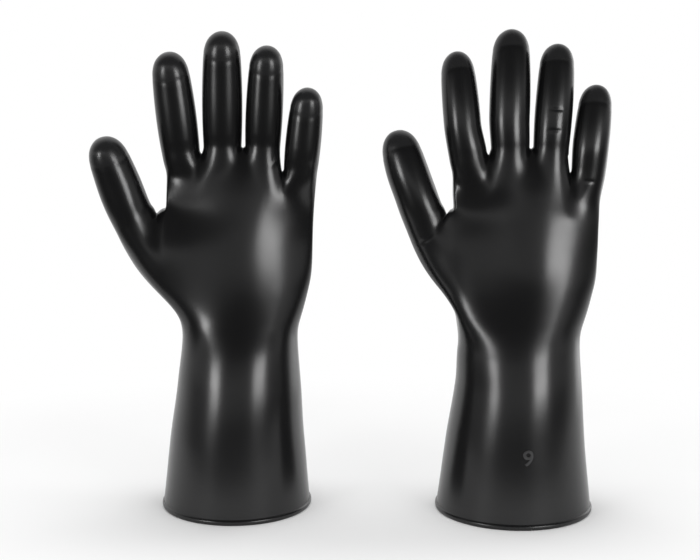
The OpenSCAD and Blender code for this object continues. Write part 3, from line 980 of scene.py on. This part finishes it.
rolls = {}
for side in SIDES:
    x, y, _ = place_of(side)
    bpy.ops.mesh.primitive_torus_add(
        major_segments=ROLL_TURNS, minor_segments=ROLL_SIDES,
        major_radius=RIM_R, minor_radius=BEAD_D / 2 * MM, location=(0, 0, 0),
    )
    roll = bpy.context.object
    roll.name = side + "_rim_roll"
    points = read_points(roll)
    points[:, 2] = np.maximum(points[:, 2], -FOOT_Z) + FOOT_Z
    radius = np.hypot(points[:, 0], points[:, 1])
    points[:, :2] *= (mix(RIM_R, radius, ROLL_NARROW) / radius)[:, None]
    points[:, 0] = points[:, 0] * SLEEVE_SHARES[side][0] + SLEEVE_SHIFTS[side][0] * MM
    write_points(roll, points + np.array([x, y, 0]))
    bpy.ops.object.shade_smooth()
    rolls[side] = roll
    print(side, "rim roll stands", round(points[:, 2].max() / MM, 2), "mm high")

# %% [markdown]
# ## The size mark
#
# The former stamps the glove's size, a plain number, low on the back of the right sleeve. It is typed, turned
# into a mesh and laid round the sleeve by the sleeve's own section.

# %% A raised number
MARK_X, MARK_Z, MARK_SIZE = 3.5, 46.5, 15.5
MARK_RELIEF, MARK_BEVEL, MARK_LIFT = 0.3, 0.2, 0.35
MARK_SMOOTH_BELOW = math.radians(40)

bpy.ops.object.text_add(location=(0, 0, 0))
mark = bpy.context.object
mark.name = "right_size_mark"
mark.data.body = "9"
mark.data.align_x = "CENTER"
mark.data.size = MARK_SIZE
mark.data.extrude = MARK_RELIEF
mark.data.bevel_depth = MARK_BEVEL
mark.data.bevel_resolution = 2
bpy.ops.object.convert(target="MESH")
x, z, relief = read_points(mark).T
x, z = x + MARK_X, z + MARK_Z
half_w = sleeve_width(z, LITTLE_WAIST_H) / 2
half_t = np.array([half_thickness(height) for height in z])
back = half_t * np.sqrt(1 - (x / half_w) ** 2) + relief + MARK_LIFT
write_points(mark, stood(fitted(np.stack([x, back, z], axis=1), "right"), "right"))
face_outwards(mark)
bpy.ops.object.shade_smooth_by_angle(angle=MARK_SMOOTH_BELOW)
print("Size mark:", len(mark.data.polygons), "faces")

# %% [markdown]
# ## Dipped rubber
#
# Near black and semi-gloss. The shine isn't even: handling and the dip's slow runs leave broad duller
# patches, the tips beyond their cap lines are duller and carry a little painted sheen in their colour, and
# the surface has the faintest orange peel. The raised size mark is painted paler than the sleeve: a painted
# highlight for the glints on its edges. Object coordinates carry the patches and the peel, and the skin's own
# attribute carries the caps.

# %% Helpers for shader nodes
def feed(tree, node, feeds):
    """Gives each input a value, or links it to another node's output."""
    for socket, value in feeds.items():
        if isinstance(value, bpy.types.NodeSocket):
            tree.links.new(value, node.inputs[socket])
        else:
            node.inputs[socket].default_value = value


def add_node(tree, kind, feeds, **settings):
    node = tree.nodes.new("ShaderNode" + kind)
    for name, value in settings.items():
        setattr(node, name, value)
    feed(tree, node, feeds)
    return node


def any_ray(tree, *kinds):
    """1 for a ray of any of these kinds, and 0 for any other."""
    path = add_node(tree, "LightPath", {}).outputs
    found = path[kinds[0]]
    for kind in kinds[1:]:
        found = add_node(tree, "Math", {0: found, 1: path[kind]}, operation="MAXIMUM").outputs["Value"]
    return found


# %% Rubber finishes
# the size mark's colour is paler than the sleeve's: a painted highlight, standing in for the glints on its
# raised edges
BLACK, MARK_PAINTED_HIGHLIGHT = (0.0045, 0.0045, 0.0048, 1), (0.035, 0.035, 0.036, 1)
# the caps' paler colour is painted sheen, standing in for the broader highlight of their duller finish;
# CAP_DULL makes that finish rougher
CAP_PAINTED_SHEEN, CAP_DULL = (0.013, 0.013, 0.0135, 1), 0.02
RUBBER_IOR = 1.5
PATCH_SCALE, PATCH_DETAIL, PATCH_SPREAD = 28, 3, 0.04
PEEL_SCALE, PEEL_DETAIL, PEEL_STRENGTH, PEEL_DEPTH = 420, 2, 0.03, 0.0004


def rubber_finish(name, roughness, black, capped=False):
    finish = bpy.data.materials.new(name)
    finish.use_nodes = True
    tree = finish.node_tree
    place = add_node(tree, "TexCoord", {}).outputs["Object"]
    patches = add_node(tree, "TexNoise", {"Vector": place, "Scale": PATCH_SCALE, "Detail": PATCH_DETAIL})
    shine = {"To Min": roughness - PATCH_SPREAD, "To Max": roughness + PATCH_SPREAD}
    dull = add_node(tree, "MapRange", {"Value": patches.outputs["Fac"], **shine}).outputs["Result"]
    colour = black
    if capped:
        cap = add_node(tree, "Attribute", {}, attribute_name="cap").outputs["Fac"]
        cap_dull = add_node(tree, "Math", {0: cap, 1: CAP_DULL, 2: dull}, operation="MULTIPLY_ADD")
        # beyond the cap line the colour turns paler: painted sheen
        cap_sheen_colour = add_node(tree, "Mix", {"Factor": cap, "A": black, "B": CAP_PAINTED_SHEEN}, data_type="RGBA")
        dull, colour = cap_dull.outputs["Value"], cap_sheen_colour.outputs["Result"]
    peel = add_node(tree, "TexNoise", {"Vector": place, "Scale": PEEL_SCALE, "Detail": PEEL_DETAIL})
    relief = {"Strength": PEEL_STRENGTH, "Distance": PEEL_DEPTH}
    bump = add_node(tree, "Bump", {"Height": peel.outputs["Fac"], **relief})
    looks = {"Base Color": colour, "Roughness": dull, "IOR": RUBBER_IOR, "Normal": bump.outputs["Normal"]}
    feed(tree, tree.nodes["Principled BSDF"], looks)
    return finish


dipped_rubber = rubber_finish("dipped_rubber", 0.25, BLACK, capped=True)
bead_rubber = rubber_finish("bead_rubber", 0.27, BLACK)
mark_rubber_and_highlight = rubber_finish("mark_rubber_and_highlight", 0.32, MARK_PAINTED_HIGHLIGHT)
print("Finishes:", dipped_rubber.name, bead_rubber.name, mark_rubber_and_highlight.name)

# %% Dress the pieces
def dress(piece, finish):
    piece.data.materials.clear()
    piece.data.materials.append(finish)


for piece in sheets:
    dress(piece, dipped_rubber)
dress(mark, mark_rubber_and_highlight)
for roll in rolls.values():
    dress(roll, bead_rubber)
print("Dressed pieces:", len(sheets) + len(rolls) + 1)

# %% [markdown]
# ## What moves with what
#
# Every piece stands for the solids that it covers, which are hidden. The rims and the size mark have no flex
# line, so they ride on the forearm.


for side in SIDES:
    skin = skins[side]
    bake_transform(skin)
    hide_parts(side + "_gauntlet", side + "_wrist_fold", side + "_palm")
    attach(rolls[side], side + "_forearm")
    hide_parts(side + "_cuff_bead")
    for digit in DIGITS:
        name = side + "_" + digit
        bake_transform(stems[name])
        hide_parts(name + "_base_fold", name + "_shaft")
        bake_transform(caps[name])
        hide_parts(name + "_mid_fold", name + "_tip")

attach(mark, "right_forearm")
print("Pieces that bend:", len(sheets))

# %% [markdown]
# ## Floor, light and camera
#
# Black rubber shows its form only by what it mirrors, so the room matters more than the lamps' strength. Two
# soft boxes stand low, left and right of the camera, and draw a pair of streaks on every round stretch. One
# behind on the right lights the edges there, and a large one overhead, which isn't mirrored, gives the shadow
# on the floor. The room in front stays dim, but for a low pale band, and the white sweep behind the gloves
# lights their edges. The camera sees white all round, and the floor fades into it.

# %% Floor
FLOOR_R, FLOOR_X, FLOOR_Y, FLOOR_STRETCH, FLOOR_TURNS = 0.33, 0.02, 0.1, 1.7, 96
FADE_NEAR, FADE_FAR = 0.17, 0.31
MATT = {"Base Color": (0.9, 0.9, 0.9, 1), "Roughness": 0.9, "Specular IOR Level": 0.1}

bpy.ops.mesh.primitive_circle_add(
    vertices=FLOOR_TURNS, radius=FLOOR_R, fill_type="NGON", location=(FLOOR_X, FLOOR_Y, 0)
)
floor = bpy.context.object
floor.name = "floor"
floor.scale.x = FLOOR_STRETCH
pale = bpy.data.materials.new("pale_floor")
pale.use_nodes = True
tree = pale.node_tree
matt = tree.nodes["Principled BSDF"]
feed(tree, matt, MATT)
white = add_node(tree, "Emission", {})
seen = any_ray(tree, "Is Camera Ray", "Is Glossy Ray", "Is Transmission Ray")
place = add_node(tree, "TexCoord", {}).outputs["Object"]
far = add_node(tree, "VectorMath", {0: place}, operation="LENGTH").outputs["Value"]
outwards = {"Value": far, "From Min": FADE_NEAR, "From Max": FADE_FAR}
fade = add_node(tree, "MapRange", outwards, interpolation_type="SMOOTHSTEP").outputs["Result"]
faded = add_node(tree, "Math", {0: fade, 1: seen}, operation="MULTIPLY").outputs["Value"]
shaders = {"Fac": faded, 1: matt.outputs["BSDF"], 2: white.outputs["Emission"]}
join = add_node(tree, "MixShader", shaders)
feed(tree, tree.nodes["Material Output"], {"Surface": join.outputs["Shader"]})
floor.data.materials.append(pale)
print("Floor fades by (m):", FADE_FAR)

# %% Lamps
LAMP_AIM = 0.19


def soft_box(name, azimuth, height, distance, size, watts):
    """A rectangular lamp that faces the gloves. Azimuth 0 is the camera's side and 90 is +X."""
    turn = math.radians(azimuth)
    place = Vector((math.sin(turn) * distance, -math.cos(turn) * distance, height))
    bpy.ops.object.light_add(type="AREA", location=place)
    lamp = bpy.context.object
    lamp.name = name
    lamp.rotation_euler = (place - Vector((0, 0, LAMP_AIM))).to_track_quat("Z", "Y").to_euler()
    lamp.data.shape = "RECTANGLE"
    lamp.data.size, lamp.data.size_y = size
    lamp.data.energy = watts
    lamp.visible_camera = False
    print(name, "gives", watts, "W")
    return lamp


soft_box("left_box", azimuth=-44, height=0.28, distance=1.6, size=(0.42, 0.24), watts=4.7)
soft_box("right_box", azimuth=37, height=0.28, distance=1.6, size=(0.6, 0.24), watts=6.2)
soft_box("edge_box", azimuth=129, height=0.3, distance=1.6, size=(0.8, 1.0), watts=2.5)
top_box = soft_box("top_box", azimuth=180, height=2.0, distance=0.3, size=(1.6, 1.2), watts=26)
top_box.visible_glossy = False

# %% Surroundings
ROOM_DIM, ROOM_BAND, ROOM_FILL = 0.08, 0.85, 0.5
BAND_Z, BAND_HALF_H = 0.1, 0.17
SWEEP, SWEEP_NEAR, SWEEP_FAR = 1.0, -0.3, 0.6

scene = bpy.context.scene
scene.world = bpy.data.worlds.new("studio")
scene.world.use_nodes = True
tree = scene.world.node_tree
axes = add_node(tree, "SeparateXYZ", {"Vector": add_node(tree, "TexCoord", {}).outputs["Generated"]}).outputs
from_band = add_node(tree, "Math", {0: axes["Z"], 1: BAND_Z}, operation="SUBTRACT").outputs["Value"]
off_band = add_node(tree, "Math", {0: from_band}, operation="ABSOLUTE").outputs["Value"]
levels = {"Value": off_band, "From Max": BAND_HALF_H, "To Min": ROOM_BAND, "To Max": ROOM_DIM}
room = add_node(tree, "MapRange", levels, interpolation_type="SMOOTHSTEP").outputs["Result"]
levels = {"Value": axes["Y"], "From Min": SWEEP_NEAR, "From Max": SWEEP_FAR, "To Min": room, "To Max": SWEEP}
around = add_node(tree, "MapRange", levels, interpolation_type="SMOOTHSTEP").outputs["Result"]
mirrored = any_ray(tree, "Is Glossy Ray", "Is Transmission Ray")
if_mirrored = add_node(tree, "Mix", {"Factor": mirrored, "A": ROOM_FILL, "B": around}).outputs["Result"]
eye = {"Factor": any_ray(tree, "Is Camera Ray"), "A": if_mirrored, "B": 1.0}
if_seen = add_node(tree, "Mix", eye).outputs["Result"]
feed(tree, tree.nodes["Background"], {"Color": (1, 1, 1, 1), "Strength": if_seen})
scene.view_settings.view_transform = "Standard"
print("Room, sweep:", ROOM_DIM, SWEEP)

# %% Camera
CAMERA_PLACE, CAMERA_DIP = (-0.00124, -0.996, 0.3414), 9.78
SENSOR_W, LENS = 36.0, 71.37

bpy.ops.object.camera_add(location=CAMERA_PLACE, rotation=(math.radians(90 - CAMERA_DIP), 0, 0))
camera = bpy.context.object
camera.data.sensor_width = SENSOR_W
camera.data.lens = LENS
scene.camera = camera
print("Camera's dip (degrees):", CAMERA_DIP)
